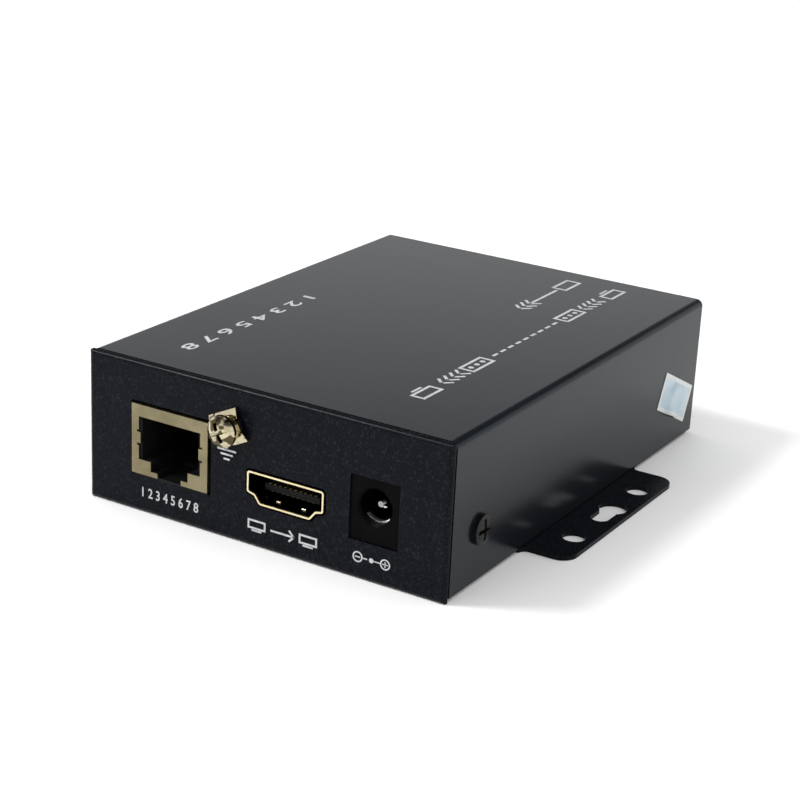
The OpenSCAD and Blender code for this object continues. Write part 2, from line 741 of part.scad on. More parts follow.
module hdmi_out_shell() {
    color([0.8, 0.7, 0.4]) at_front(hdmi_out_x, hdmi_z, hdmi_proud) hdmi_shell();
}
module hdmi_out_core() {
    color([0.05, 0.05, 0.05]) at_front(hdmi_out_x, hdmi_z, hdmi_proud) hdmi_core();
}
module hdmi_out_contacts() {
    color([0.85, 0.66, 0.25]) at_front(hdmi_out_x, hdmi_z, hdmi_proud) hdmi_contacts();
}
module hdmi_in_shell() {
    color([0.8, 0.7, 0.4]) at_rear(hdmi_in_x, hdmi_z, hdmi_proud) hdmi_shell();
}
module hdmi_in_core() {
    color([0.05, 0.05, 0.05]) at_rear(hdmi_in_x, hdmi_z, hdmi_proud) hdmi_core();
}
module hdmi_in_contacts() {
    color([0.85, 0.66, 0.25]) at_rear(hdmi_in_x, hdmi_z, hdmi_proud) hdmi_contacts();
}

module dc_jack_housing() {
    waist_w = dc_w - 2 * dc_waist_in;
    color([0.07, 0.07, 0.08]) at_front(dc_x, dc_z, -dc_recess) difference() {
        union() {
            translate([-dc_w / 2, 0, -dc_h / 2]) cube([dc_w, dc_collar_d, dc_h]);
            translate([-waist_w / 2, 0, -dc_h / 2]) cube([waist_w, dc_len, dc_h / 2 + dc_hole_up]);
            translate([0, dc_len, dc_hole_up]) rotate([90, 0, 0]) cylinder(r = waist_w / 2, h = dc_len);
        }
        translate([0, dc_hole_d, dc_hole_up]) rotate([90, 0, 0])
            cylinder(r = dc_hole_r, h = dc_hole_d + over);
        translate([0, dc_mouth_r, dc_hole_up]) rotate([90, 0, 0])
            cylinder(r1 = dc_hole_r, r2 = dc_hole_r + dc_mouth_r + over, h = dc_mouth_r + over);
        translate([0, dc_len + over, dc_hole_up]) rotate([90, 0, 0])
            cylinder(r = dc_pin_r + pin_gap, h = dc_len);
    }
}

module dc_jack_pin() {
    tip = dc_pin_r / 2;
    color([0.85, 0.85, 0.87]) at_front(dc_x, dc_z + dc_hole_up, -dc_recess - dc_pin_back)
        rotate([-90, 0, 0]) rotate_extrude() polygon([[0, 0], [tip, 0], [dc_pin_r, tip],
            [dc_pin_r, dc_len - dc_pin_back + dc_tail_len],
            [0, dc_len - dc_pin_back + dc_tail_len]]);
}

module dc_jack_spring() {
    outer = dc_hole_r - pin_gap;
    color([0.8, 0.8, 0.82]) at_front(dc_x, dc_z + dc_hole_up, -dc_recess - dc_spring_front)
        translate([0, dc_spring_len, 0]) rotate([90, 0, 0]) linear_extrude(dc_spring_len) intersection() {
            difference() {
                circle(outer);
                circle(outer - dc_spring_t);
            }
            polygon([[0, 0], 2 * outer * [-sin(dc_spring_half), -cos(dc_spring_half)],
                2 * outer * [sin(dc_spring_half), -cos(dc_spring_half)]]);
        }
}

module ground_nut() {
    color([0.7, 0.7, 0.72]) translate([gnd_x, front_y + sheet_t + gnd_nut_t, gnd_z]) rotate([90, 0, 0])
        difference() {
            cylinder(r = gnd_nut_r, h = gnd_nut_t);
            translate([0, 0, -over]) cylinder(r = gnd_screw_r + pin_gap, h = gnd_nut_t + 2 * over);
        }
}

module ground_screw() {
    color([0.75, 0.7, 0.55]) translate([gnd_x, gnd_head_y, gnd_z]) rotate([90, 0, 0])
        rotate([0, 0, square_turn])
            pan_screw(gnd_head_r, gnd_head_h, gnd_head_h * pan_rim_share, gnd_screw_r, gnd_shank_len);
}

module ground_lock_washer() {
    color([0.7, 0.68, 0.6]) translate([gnd_x, lock_y, gnd_z]) rotate([90, 0, 0]) difference() {
        cylinder(r = lock_r, h = lock_t);
        translate([0, 0, -over]) cylinder(r = gnd_screw_r + 2 * pin_gap, h = lock_t + 2 * over);
        translate([0, lock_r / 2 + gnd_screw_r / 2, lock_t / 2]) rotate([0, lock_slit_lean, 0])
            cube([lock_slit, lock_r, 2 * lock_t + 2 * over], center = true);
    }
}

module ground_square_washer() {
    foot = square_r - square_rise;
    color([0.72, 0.7, 0.62]) translate([gnd_x, front_y - square_gap, gnd_z]) rotate([90, 0, 0])
        rotate([0, 0, square_turn]) difference() {
            rotate([90, 0, 90]) linear_extrude(square_side, center = true) intersection() {
                translate([0, -foot]) difference() {
                    circle(square_r + square_t);
                    circle(square_r);
                }
                translate([-square_side / 2, 0]) square([square_side, square_rise + square_t]);
            }
            translate([0, 0, -over]) cylinder(r = square_hole_r, h = square_rise + square_t + 2 * over);
        }
}

// USB mouth outline: a square with its two upper corners bevelled
module usb_shape(w, h, bevel) {
    polygon([[-w / 2, -h / 2], [w / 2, -h / 2], [w / 2, h / 2 - bevel], [w / 2 - bevel, h / 2],
        [-w / 2 + bevel, h / 2], [-w / 2, h / 2 - bevel]]);
}

module usb_b_shell() {
    color([0.75, 0.75, 0.77]) at_rear(usb_x, usb_z, usb_proud) difference() {
        translate([0, usb_len / 2, 0]) cube([usb_w, usb_len, usb_h], center = true);
        translate([-usb_w / 2 + usb_wall, usb_wall, -usb_h / 2 - over])
            cube([usb_w - 2 * usb_wall, usb_len - 2 * usb_wall, usb_h - usb_wall + over]);
        translate([0, usb_wall + over, 0]) rotate([90, 0, 0]) linear_extrude(usb_wall + 2 * over)
            usb_shape(usb_mouth_w, usb_mouth_h, usb_bevel);
    }
}

module usb_b_core() {
    block_w = usb_w - 2 * (usb_wall + fit_gap);
    block_d = usb_len - 2 * (usb_wall + fit_gap);
    block_h = usb_h - usb_wall - fit_gap;
    color([0.08, 0.08, 0.09]) at_rear(usb_x, usb_z, usb_proud) translate([0, usb_wall + fit_gap, 0]) {
        difference() {
            translate([-block_w / 2, 0, -usb_h / 2]) cube([block_w, block_d, block_h]);
            translate([0, usb_cavity_d, 0]) rotate([90, 0, 0]) linear_extrude(usb_cavity_d + over)
                usb_shape(usb_mouth_w - 2 * usb_core_rim, usb_mouth_h - 2 * usb_core_rim, usb_bevel);
        }
        translate([-usb_tongue_w / 2, usb_tongue_front, -usb_tongue_h / 2])
            cube([usb_tongue_w, usb_cavity_d - usb_tongue_front + over, usb_tongue_h]);
    }
}

module usb_b_contacts() {
    reach = usb_cavity_d - usb_tongue_front - usb_pin_w;
    color([0.85, 0.66, 0.25]) at_rear(usb_x, usb_z, usb_proud)
        for (sx = [-1, 1], sz = [0, 1]) translate([sx * usb_pin_pitch / 2 - usb_pin_w / 2,
            usb_wall + fit_gap + usb_tongue_front + usb_pin_w / 2,
            sz == 0 ? -usb_tongue_h / 2 - usb_pin_t : usb_tongue_h / 2])
            cube([usb_pin_w, reach, usb_pin_t]);
}

module status_lamps() {
    color([0.4, 0.8, 0.5]) for (i = [0, 1]) at_rear(lamp_x + i * lamp_pitch, board_top + lamp_up,
        lamp_proud) rotate([-90, 0, 0]) rotate_extrude() union() {
            translate([0, lamp_r]) square([lamp_r, sheet_t + lamp_proud + board_end_gap - lamp_r]);
            intersection() {
                translate([0, lamp_r]) circle(lamp_r);
                square([lamp_r, lamp_r]);
            }
        }
}

module lamp_holders() {
    color([0.08, 0.08, 0.08]) for (i = [0, 1])
        translate([lamp_x + i * lamp_pitch - holder_w / 2, board_rear_y - holder_d, board_top])
            cube([holder_w, holder_d, lamp_up + lamp_r + holder_top]);
}

// Draws its children at the four standoff places
module at_standoffs() {
    for (s = [-1, 1], y = [front_y + standoff_front_in, case_d / 2 - standoff_rear_in])
        translate([s * (side_x - standoff_in_x), y, 0]) children();
}

module circuit_board() {
    color([0.05, 0.3, 0.15]) difference() {
        translate([-board_half_w, board_front_y, board_top - board_t])
            cube([2 * board_half_w, board_rear_y - board_front_y, board_t]);
        at_standoffs() translate([0, 0, board_top - board_t - over])
            cylinder(r = screw_r + fit_gap, h = board_t + 2 * over);
        at_front(hdmi_out_x, hdmi_z, hdmi_proud) hdmi_legs(fit_gap);
        at_rear(hdmi_in_x, hdmi_z, hdmi_proud) hdmi_legs(fit_gap);
    }
}

module board_standoffs() {
    color([0.75, 0.72, 0.6]) at_standoffs() translate([0, 0, sheet_t]) difference() {
        cylinder(r = standoff_r, h = standoff_h);
        translate([0, 0, standoff_h + board_t - board_screw_len - fit_gap])
            cylinder(r = screw_r + pin_gap, h = board_screw_len + over);
    }
}

module board_screws() {
    color([0.78, 0.78, 0.8]) at_standoffs() translate([0, 0, board_top])
        pan_screw(board_head_r, board_head_h, board_head_h * pan_rim_share, screw_r, board_screw_len);
}

// Draws its children on the board's top at a place
module on_board(x, y) translate([x, y, board_top]) children();

module main_chip() {
    color([0.1, 0.1, 0.11]) on_board(0, chip_y) {
        translate([-chip_w / 2, -chip_w / 2, 0]) cube([chip_w, chip_w, chip_t]);
        difference() {
            translate([0, 0, pin_row_t / 2])
                cube([chip_w + 2 * pin_row_out, chip_w - pin_row_out, pin_row_t], center = true);
            translate([0, 0, pin_row_t / 2]) cube([chip_w, chip_w, pin_row_t + over], center = true);
        }
    }
}

module thermal_pad() {
    color([0.6, 0.65, 0.7]) on_board(0, chip_y) translate([-chip_w / 2 + pad_in, -chip_w / 2 + pad_in,
        chip_t]) cube([chip_w - 2 * pad_in, chip_w - 2 * pad_in, pad_t]);
}

module heat_sink() {
    pitch = (sink_w - fin_t) / (sink_fins - 1);
    color([0.6, 0.6, 0.62]) on_board(0, chip_y) translate([-sink_w / 2, -sink_w / 2, chip_t + pad_t]) {
        cube([sink_w, sink_w, sink_base]);
        for (i = [0:sink_fins - 1]) translate([i * pitch, 0, 0]) cube([fin_t, sink_w, sink_h]);
    }
}

module line_transformer() {
    color([0.09, 0.09, 0.1]) on_board(line_x, line_y) translate([-line_w / 2, -line_d / 2, 0])
        cube([line_w, line_d, line_h]);
}

module crystal_can() {
    color([0.75, 0.76, 0.78]) on_board(can_x, can_y) linear_extrude(can_h)
        round_rect(can_len, can_w, can_w / 2 - fit_gap);
}

module capacitors() {
    color([0.7, 0.7, 0.72]) for (p = cap_places) on_board(p[0], p[1]) {
        translate([-cap_r, -cap_r, 0]) cube([2 * cap_r, 2 * cap_r, cap_base_t]);
        rotate_extrude() difference() {
            square([cap_r, cap_h]);
            translate([cap_r, cap_groove_up]) circle(cap_groove);
        }
    }
}

module power_inductor() {
    color([0.3, 0.3, 0.32]) on_board(coil_x, coil_y) {
        translate([-coil_w / 2, -coil_w / 2, 0]) cube([coil_w, coil_w, coil_h - pad_t]);
        cylinder(r = coil_r, h = coil_h);
    }
}

module small_chips() {
    color([0.1, 0.1, 0.11]) for (i = [0:len(small_places) - 1])
        on_board(small_places[i][0], small_places[i][1])
            translate([-small_sizes[i][0] / 2, -small_sizes[i][1] / 2, 0]) cube(small_sizes[i]);
}

base_tray();
top_cover();
cover_screws();
seal_sticker();
rj45_shell();
rj45_housing();
rj45_contacts();
hdmi_out_shell();
hdmi_out_core();
hdmi_out_contacts();
dc_jack_housing();
dc_jack_pin();
dc_jack_spring();
ground_nut();
ground_screw();
ground_lock_washer();
ground_square_washer();
hdmi_in_shell();
hdmi_in_core();
hdmi_in_contacts();
usb_b_shell();
usb_b_core();
usb_b_contacts();
status_lamps();
lamp_holders();
circuit_board();
board_standoffs();
board_screws();
main_chip();
thermal_pad();
heat_sink();
line_transformer();
crystal_can();
capacitors();
power_inductor();
small_chips();
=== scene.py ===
import math
import bmesh
import bpy
from mathutils import Matrix, Vector


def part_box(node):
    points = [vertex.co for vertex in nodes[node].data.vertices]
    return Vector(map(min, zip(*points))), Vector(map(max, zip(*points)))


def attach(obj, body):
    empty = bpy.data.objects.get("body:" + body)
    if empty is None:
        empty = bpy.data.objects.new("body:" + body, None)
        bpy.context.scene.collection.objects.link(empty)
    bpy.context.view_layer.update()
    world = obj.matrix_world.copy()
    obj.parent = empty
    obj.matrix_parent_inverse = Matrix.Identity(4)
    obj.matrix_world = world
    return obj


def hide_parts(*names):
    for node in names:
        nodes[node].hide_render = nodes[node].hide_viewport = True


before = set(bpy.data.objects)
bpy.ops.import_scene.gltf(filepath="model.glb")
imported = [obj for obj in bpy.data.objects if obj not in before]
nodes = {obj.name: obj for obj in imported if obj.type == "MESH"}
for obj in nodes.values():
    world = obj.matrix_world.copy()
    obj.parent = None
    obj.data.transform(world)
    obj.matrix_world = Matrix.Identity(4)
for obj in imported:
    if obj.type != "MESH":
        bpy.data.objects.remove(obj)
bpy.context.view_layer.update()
mm = 0.001


scene = bpy.context.scene
scene.view_settings.view_transform = "Standard"
print("frame loaded:", len(nodes), "nodes")

cameraSetup = {
    "place": (0.16826, -0.28838, 0.13556),  # metres, from the fitted photograph
    "turn": (69.688, -2.639, 31.572),  # degrees
    "lens": 87.47,
    "sensor": 36.0,
    "near": 0.01,
}
cameraData = bpy.data.cameras.new("photoCamera")
cameraData.lens = cameraSetup["lens"]
cameraData.sensor_width = cameraSetup["sensor"]
cameraData.clip_start = cameraSetup["near"]
camera = bpy.data.objects.new("photoCamera", cameraData)
camera.location = cameraSetup["place"]
camera.rotation_euler = [math.radians(a) for a in cameraSetup["turn"]]
scene.collection.objects.link(camera)
scene.camera = camera
print("camera placed")


def mapped(tree, stretch=(1, 1, 1)):
    mapping = tree.nodes.new("ShaderNodeMapping")
    mapping.inputs["Scale"].default_value = stretch
    tree.links.new(tree.nodes["place"].outputs["Object"], mapping.inputs["Vector"])
    return mapping.outputs["Vector"]


def noise(tree, vector, scale, detail):
    node = tree.nodes.new("ShaderNodeTexNoise")
    node.inputs["Scale"].default_value = scale
    node.inputs["Detail"].default_value = detail
    tree.links.new(vector, node.inputs["Vector"])
    return node.outputs["Fac"]


def ramp(tree, factor, stops):
    node = tree.nodes.new("ShaderNodeValToRGB")
    for element, (place, colour) in zip(node.color_ramp.elements, stops):
        element.position = place
        element.color = (*colour, 1.0)
    tree.links.new(factor, node.inputs["Fac"])
    return node.outputs["Color"]


def ranged(tree, value, source, target=(0.0, 1.0)):
    node = tree.nodes.new("ShaderNodeMapRange")
    node.inputs["From Min"].default_value, node.inputs["From Max"].default_value = source
    node.inputs["To Min"].default_value, node.inputs["To Max"].default_value = target
    tree.links.new(value, node.inputs["Value"])
    return node.outputs["Result"]


def combined(tree, operation, first, second=None):
    node = tree.nodes.new("ShaderNodeMath")
    node.operation = operation
    tree.links.new(first, node.inputs[0])
    if second is not None:
        tree.links.new(second, node.inputs[1])
    return node.outputs["Value"]


def mixed(tree, factor, first, second, kind="RGBA"):
    node = tree.nodes.new("ShaderNodeMix")
    node.data_type = kind
    tree.links.new(factor, node.inputs["Factor"])
    for socket, value in (("A", first), ("B", second)):
        if isinstance(value, tuple):
            node.inputs[socket].default_value = (*value, 1.0)
        else:
            tree.links.new(value, node.inputs[socket])
    return node.outputs["Result"]


def bumped(tree, height, distance, strength):
    node = tree.nodes.new("ShaderNodeBump")
    node.inputs["Strength"].default_value = strength
    node.inputs["Distance"].default_value = distance
    tree.links.new(height, node.inputs["Height"])
    return node.outputs["Normal"]


def axes(tree, vector):
    split = tree.nodes.new("ShaderNodeSeparateXYZ")
    tree.links.new(vector, split.inputs["Vector"])
    return split.outputs


def seenBy(tree, *kinds):  # one for a ray of a kind that is named, else zero
    paths = tree.nodes.new("ShaderNodeLightPath")
    total = paths.outputs["Is " + kinds[0] + " Ray"]
    for kind in kinds[1:]:
        total = combined(tree, "MAXIMUM", total, paths.outputs["Is " + kind + " Ray"])
    return total


def repainted(tree, factor, under=None, over=None):  # the present colour stays on the side left out
    socket = tree.nodes["Principled BSDF"].inputs["Base Color"]
    current = socket.links[0].from_socket
    tree.links.new(mixed(tree, factor, under or current, over or current), socket)


patterns = {
    "patchDetail": 4.0, "fleckDetail": 1.0, "grainDetail": 3.0,
    "patchStops": (0.35, 0.65), "grainSpan": (0.3, 0.7),  # parts of the noise that are used
}


def finish(name, base, other, patch=120.0, rough=(0.4, 0.5), grain=3000.0, depth=0.00001,
           metal=0.0, specular=0.5, stretch=(1, 1, 1), strength=0.5, coat=0.0, coatRough=0.1,
           speck=None, tint=(1, 1, 1)):
    material = bpy.data.materials.new(name)
    material.use_nodes = True
    tree = material.node_tree
    shader = tree.nodes["Principled BSDF"]
    tree.nodes.new("ShaderNodeTexCoord").name = "place"
    plain = mapped(tree)
    colour = ramp(tree, noise(tree, plain, patch, patterns["patchDetail"]),
                  list(zip(patterns["patchStops"], (base, other))))
    if speck is not None:  # bright or dark flecks over the colour
        fleck = ramp(tree, noise(tree, plain, speck["scale"], patterns["fleckDetail"]), [
            (speck["start"], (0, 0, 0)), (speck["end"], (1, 1, 1))])
        colour = mixed(tree, fleck, colour, speck["colour"])
    tree.links.new(colour, shader.inputs["Base Color"])
    fine = noise(tree, mapped(tree, stretch), grain, patterns["grainDetail"])
    tree.links.new(ranged(tree, fine, patterns["grainSpan"], rough), shader.inputs["Roughness"])
    tree.links.new(bumped(tree, fine, depth, strength), shader.inputs["Normal"])
    shader.inputs["Metallic"].default_value = metal
    shader.inputs["Specular IOR Level"].default_value = specular
    shader.inputs["Specular Tint"].default_value = (*tint, 1.0)
    shader.inputs["Coat Weight"].default_value = coat
    shader.inputs["Coat Roughness"].default_value = coatRough
    return material


coverPaint = finish("coverPaint", (0.0042, 0.0054, 0.0074), (0.0056, 0.0070, 0.0094), patch=45,
                    rough=(0.21, 0.25), grain=2400, depth=0.000003, strength=0.3, specular=0.2,
                    tint=(0.7, 0.9, 1.0))
trayPowder = finish("trayPowder", (0.0030, 0.0034, 0.0052), (0.0042, 0.0048, 0.0074), patch=420,
                    rough=(0.24, 0.30), grain=2200, depth=0.000014, strength=0.5, specular=0.068,
                    speck={"scale": 2400, "start": 0.54, "end": 0.90, "colour": (0.019, 0.022, 0.030)})
blackOxide = finish("blackOxide", (0.0045, 0.0045, 0.005), (0.007, 0.007, 0.0075), patch=900,
                    rough=(0.26, 0.34), grain=5000, depth=0.000006, specular=0.16)
tinShell = finish("tinShell", (0.20, 0.171, 0.101), (0.27, 0.232, 0.14), patch=260, metal=1.0,
                  rough=(0.26, 0.42), grain=900, depth=0.00001, stretch=(1, 1, 14))
goldShell = finish("goldShell", (0.78, 0.66, 0.38), (0.86, 0.76, 0.50), patch=400, metal=1.0,
                   rough=(0.2, 0.3), grain=1200, depth=0.000005, stretch=(10, 1, 1))
goldWire = finish("goldWire", (0.70, 0.46, 0.14), (0.80, 0.56, 0.2), patch=900, metal=1.0,
                  rough=(0.18, 0.3), grain=4000, depth=0.000004)
# The tongue contacts are a darkened copy of the gold wire: painted shade for their place deep in the
# socket's mouth.
shadedTongueWire = finish("shadedTongueWire", (0.26, 0.19, 0.09), (0.34, 0.26, 0.13), patch=900, metal=1.0,
                    rough=(0.4, 0.5), grain=4000, depth=0.000004)
blackNylon = finish("blackNylon", (0.004, 0.004, 0.0045), (0.0065, 0.0065, 0.007), patch=500,
                    rough=(0.42, 0.58), grain=5200, depth=0.000012, specular=0.15)
jackPlastic = finish("jackPlastic", (0.0016, 0.0016, 0.0018), (0.0026, 0.0026, 0.0028), patch=300,
                     rough=(0.34, 0.48), grain=4200, depth=0.00001, specular=0.03)
brightNickel = finish("brightNickel", (0.90, 0.90, 0.90), (0.96, 0.96, 0.95), patch=900, metal=1.0,
                      rough=(0.3, 0.42), grain=6000, depth=0.000003)
# The pin is a darkened copy of the spring's nickel: painted shade for its place down in the jack's hole.
shadedPinNickel = finish("shadedPinNickel", (0.30, 0.30, 0.31), (0.40, 0.40, 0.40), patch=900, metal=1.0,
                   rough=(0.07, 0.13), grain=6000, depth=0.000003)
agedNickel = finish("agedNickel", (0.50, 0.44, 0.29), (0.66, 0.59, 0.42), patch=900, metal=1.0,
                    rough=(0.06, 0.16), grain=2600, depth=0.000012,
                    speck={"scale": 620, "start": 0.53, "end": 0.58, "colour": (0.09, 0.07, 0.035)})
zincPlate = finish("zincPlate", (0.55, 0.55, 0.57), (0.66, 0.66, 0.68), patch=500, metal=1.0,
                   rough=(0.24, 0.4), grain=1500, depth=0.000008, stretch=(1, 1, 8))
lampLens = finish("lampLens", (0.42, 0.62, 0.46), (0.50, 0.70, 0.54), patch=900,
                  rough=(0.16, 0.26), grain=3000, depth=0.000004, coat=0.4)
boardMask = finish("boardMask", (0.010, 0.080, 0.030), (0.016, 0.110, 0.042), patch=250,
                   rough=(0.3, 0.42), grain=2500, depth=0.00001)
brassPost = finish("brassPost", (0.52, 0.38, 0.14), (0.62, 0.46, 0.19), patch=500, metal=1.0,
                   rough=(0.24, 0.38), grain=1500, depth=0.000006, stretch=(1, 1, 10))
chipEpoxy = finish("chipEpoxy", (0.012, 0.012, 0.013), (0.018, 0.018, 0.019), patch=600,
                   rough=(0.5, 0.66), grain=6000, depth=0.00001)
softPad = finish("softPad", (0.26, 0.31, 0.36), (0.32, 0.37, 0.42), patch=400,
                 rough=(0.7, 0.85), grain=3000, depth=0.00002)
sinkAluminium = finish("sinkAluminium", (0.46, 0.47, 0.49), (0.55, 0.56, 0.58), patch=300, metal=1.0,
                       rough=(0.34, 0.5), grain=1200, depth=0.00001, stretch=(1, 12, 1))
canAluminium = finish("canAluminium", (0.60, 0.60, 0.62), (0.70, 0.70, 0.72), patch=300, metal=1.0,
                      rough=(0.2, 0.34), grain=1500, depth=0.000006, stretch=(1, 1, 10))
ferriteBlock = finish("ferriteBlock", (0.05, 0.05, 0.053), (0.075, 0.075, 0.08), patch=800,
                      rough=(0.5, 0.7), grain=4500, depth=0.00002)
coverInk = finish("coverInk", (0.40, 0.41, 0.42), (0.50, 0.51, 0.52), patch=900,
                  rough=(0.5, 0.65), grain=6000, depth=0.000006, specular=0.2)
whiteInk = finish("whiteInk", (0.44, 0.45, 0.46), (0.56, 0.57, 0.58), patch=900,
                  rough=(0.45, 0.6), grain=6000, depth=0.000006)

# The plating keeps its gold on the rim and on the finger bumps; down in the mouth its colour is painted
# dark, a painted shade.
shellLight = {
    "paintedShade": (0.006, 0.005, 0.003),
    "rim": (0.04730, 0.04765),  # metres from the middle of the case, where the painted shade gives way to the gold rim
    "bump": (0.0453, 0.0460), "bumpBlur": 0.00005,
    "low": 0.0083, "lowBlur": 0.00008, "high": 0.0087, "highBlur": 0.0001,  # heights of the bumps
}
tree = goldShell.node_tree
spot = axes(tree, tree.nodes["place"].outputs["Object"])
away = combined(tree, "ABSOLUTE", spot["Y"])
bumpIn, bumpOut = shellLight["bump"]
onBump = combined(tree, "MULTIPLY", ranged(tree, away, (bumpIn, bumpIn + shellLight["bumpBlur"])),
                  ranged(tree, away, (bumpOut, bumpOut - shellLight["bumpBlur"])))
raised = combined(tree, "MULTIPLY",
                  ranged(tree, spot["Z"], (shellLight["low"] - shellLight["lowBlur"], shellLight["low"])),
                  ranged(tree, spot["Z"], (shellLight["high"], shellLight["high"] - shellLight["highBlur"])))
# Everything but the rim and the raised bumps takes the painted shade colour.
repainted(tree, combined(tree, "MAXIMUM", ranged(tree, away, shellLight["rim"]),
                         combined(tree, "MULTIPLY", onBump, raised)), under=shellLight["paintedShade"])

# Behind the front end of the jack's spring its colour is painted dark, a painted shade, so only the front
# end catches the light.
springLight = {"paintedShade": (0.02, 0.02, 0.02), "bright": 0.0005, "gone": 0.0010}  # metres behind its front end
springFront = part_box("dc_jack_spring")[0].y
tree = brightNickel.node_tree
spot = axes(tree, tree.nodes["place"].outputs["Object"])
springReach = (springFront + springLight["gone"], springFront + springLight["bright"])
repainted(tree, ranged(tree, spot["Y"], springReach), under=springLight["paintedShade"])

nodeFinish = {
    "top_cover": coverPaint, "base_tray": trayPowder, "cover_screws": blackOxide,
    "rj45_shell": tinShell, "rj45_housing": blackNylon, "rj45_contacts": goldWire,
    "hdmi_out_shell": goldShell, "hdmi_out_core": blackNylon, "hdmi_out_contacts": shadedTongueWire,
    "hdmi_in_shell": goldShell, "hdmi_in_core": blackNylon, "hdmi_in_contacts": shadedTongueWire,
    "dc_jack_housing": jackPlastic, "dc_jack_pin": shadedPinNickel, "dc_jack_spring": brightNickel,
    "ground_nut": zincPlate, "ground_screw": agedNickel, "ground_lock_washer": agedNickel,
    "ground_square_washer": agedNickel, "usb_b_shell": zincPlate, "usb_b_core": jackPlastic,
    "usb_b_contacts": goldWire, "status_lamps": lampLens, "lamp_holders": jackPlastic,
    "circuit_board": boardMask, "board_standoffs": brassPost, "board_screws": zincPlate,
    "main_chip": chipEpoxy, "thermal_pad": softPad, "heat_sink": sinkAluminium,
    "line_transformer": chipEpoxy, "crystal_can": zincPlate, "capacitors": canAluminium,
    "power_inductor": ferriteBlock, "small_chips": chipEpoxy,
}
for nodeName, material in nodeFinish.items():
    nodes[nodeName].material_slots[0].material = material
print("finishes made:", len(nodeFinish))

# A print is drawn in millimetres: u runs along the row of marks and v up from its foot.
inkSetup = {
    "lift": 0.03,  # thickness of the printed ink
    "ringSteps": 32, "dotSteps": 24,
    "tipTurn": 45, "tipShare": 0.7,  # of an arrow tip: degrees, and its arm's share of the size
    "numeralShare": 0.73, "weldGap": 0.0001,  # a numeral's height in its line, and doubles to merge
}
inkLift = inkSetup["lift"]


def facePlace(origin, along, up):
    along, up = Vector(along), Vector(up)
    out = along.cross(up)
    turn = Matrix((along, up, out)).transposed().to_4x4()
    return Matrix.Translation(Vector(origin) * mm) @ turn @ Matrix.Scale(mm, 4)


def bar(bm, u, v, width, height, turn=0.0):
    place = Matrix.Translation((u, v, inkLift / 2)) @ Matrix.Rotation(math.radians(turn), 4, "Z")
    bmesh.ops.create_cube(bm, size=1.0, matrix=place @ Matrix.Diagonal((width, height, inkLift, 1)))


def ring(bm, u, v, radius, line):
    middle = Vector((u, v, 0))
    start = bm.verts.new((u + radius - line, v, 0))
    end = bm.verts.new((u + radius, v, 0))
    edge = bm.edges.new((start, end))
    bmesh.ops.spin(bm, geom=[start, end, edge], cent=middle, axis=(0, 0, 1),
                   angle=2 * math.pi, steps=inkSetup["ringSteps"], use_merge=True)
    flat = [f for f in bm.faces if all((e.co - middle).length < radius + line for e in f.verts)
            and abs(f.calc_center_median().z) < inkLift / 4]
    bmesh.ops.solidify(bm, geom=flat, thickness=-inkLift)


def disc(bm, u, v, radius):
    bmesh.ops.create_cone(bm, cap_ends=True, segments=inkSetup["dotSteps"], radius1=radius, radius2=radius,
                          depth=inkLift, matrix=Matrix.Translation((u, v, inkLift / 2)))


def frameBox(bm, u, v, size, line):
    width, height = size
    for side in (-1, 1):
        bar(bm, u + side * (width - line) / 2, v, line, height)
        bar(bm, u, v + side * (height - line) / 2, width - 2 * line, line)


def arrowTip(bm, u, v, size, line):
    for side in (-1, 1):
        bar(bm, u, v + side * size / 4, line, size * inkSetup["tipShare"] + line, side * inkSetup["tipTurn"])


def printed(name, bm, place, ink):
    mesh = bpy.data.meshes.new(name)
    bmesh.ops.transform(bm, matrix=place, verts=bm.verts)
    bmesh.ops.recalc_face_normals(bm, faces=bm.faces)
    bm.to_mesh(mesh)
    bm.free()
    mesh.materials.append(ink)
    piece = bpy.data.objects.new(name, mesh)
    scene.collection.objects.link(piece)
    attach(piece, "chassis")


def numerals(name, settings, place, ink):
    curve = bpy.data.curves.new(name, "FONT")
    curve.body = settings["numbers"]
    curve.size = settings["height"] / inkSetup["numeralShare"]
    curve.extrude = inkLift / 2
    curve.offset = settings["weight"]
    maker = bpy.data.objects.new(name + "Maker", curve)
    scene.collection.objects.link(maker)
    bpy.context.view_layer.update()
    mesh = bpy.data.meshes.new_from_object(maker.evaluated_get(bpy.context.evaluated_depsgraph_get()))
    bpy.data.objects.remove(maker)
    bm = bmesh.new()
    bm.from_mesh(mesh)
    bpy.data.meshes.remove(mesh)
    left = min(v.co.x for v in bm.verts)
    widest = max(v.co.x for v in bm.verts) - left
    bmesh.ops.remove_doubles(bm, verts=bm.verts, dist=inkSetup["weldGap"])
    bmesh.ops.transform(bm, verts=bm.verts, matrix=Matrix.Diagonal((settings["length"] / widest, 1, 1, 1))
                        @ Matrix.Translation((-left, 0, inkLift / 2)))
    printed(name, bm, place, ink)


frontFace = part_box("base_tray")[0].y / mm
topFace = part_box("top_cover")[1].z / mm
frontPlace = facePlace((0, frontFace, 0), (1, 0, 0), (0, 0, 1))


# Marks on the cover read from the rear towards the front, with their tops towards +X.
def coverPlace(settings):
    return facePlace((settings["left"], settings["start"], topFace), (0, -1, 0), (1, 0, 0))


groundMark = {
    "middle": -6.6, "line": 0.32, "stemTop": 16.6,
    "bars": [(15.83, 3.8), (15.03, 2.46), (14.21, 1.2)],  # level and width
}
bm = bmesh.new()
for level, width in groundMark["bars"]:
    bar(bm, groundMark["middle"], level, width, groundMark["line"])
stemFoot = groundMark["bars"][0][0]
bar(bm, groundMark["middle"], (groundMark["stemTop"] + stemFoot) / 2, groundMark["line"],
    groundMark["stemTop"] - stemFoot)
printed("groundMark", bm, frontPlace, whiteInk)

networkMark = {
    "numbers": "1 2 3 4 5 6 7 8", "start": -24.2, "foot": 3.0,
    "height": 1.8, "length": 11.9, "weight": 0.03,
}
numerals("networkMark", networkMark,
         frontPlace @ Matrix.Translation((networkMark["start"], networkMark["foot"], 0)), whiteInk)

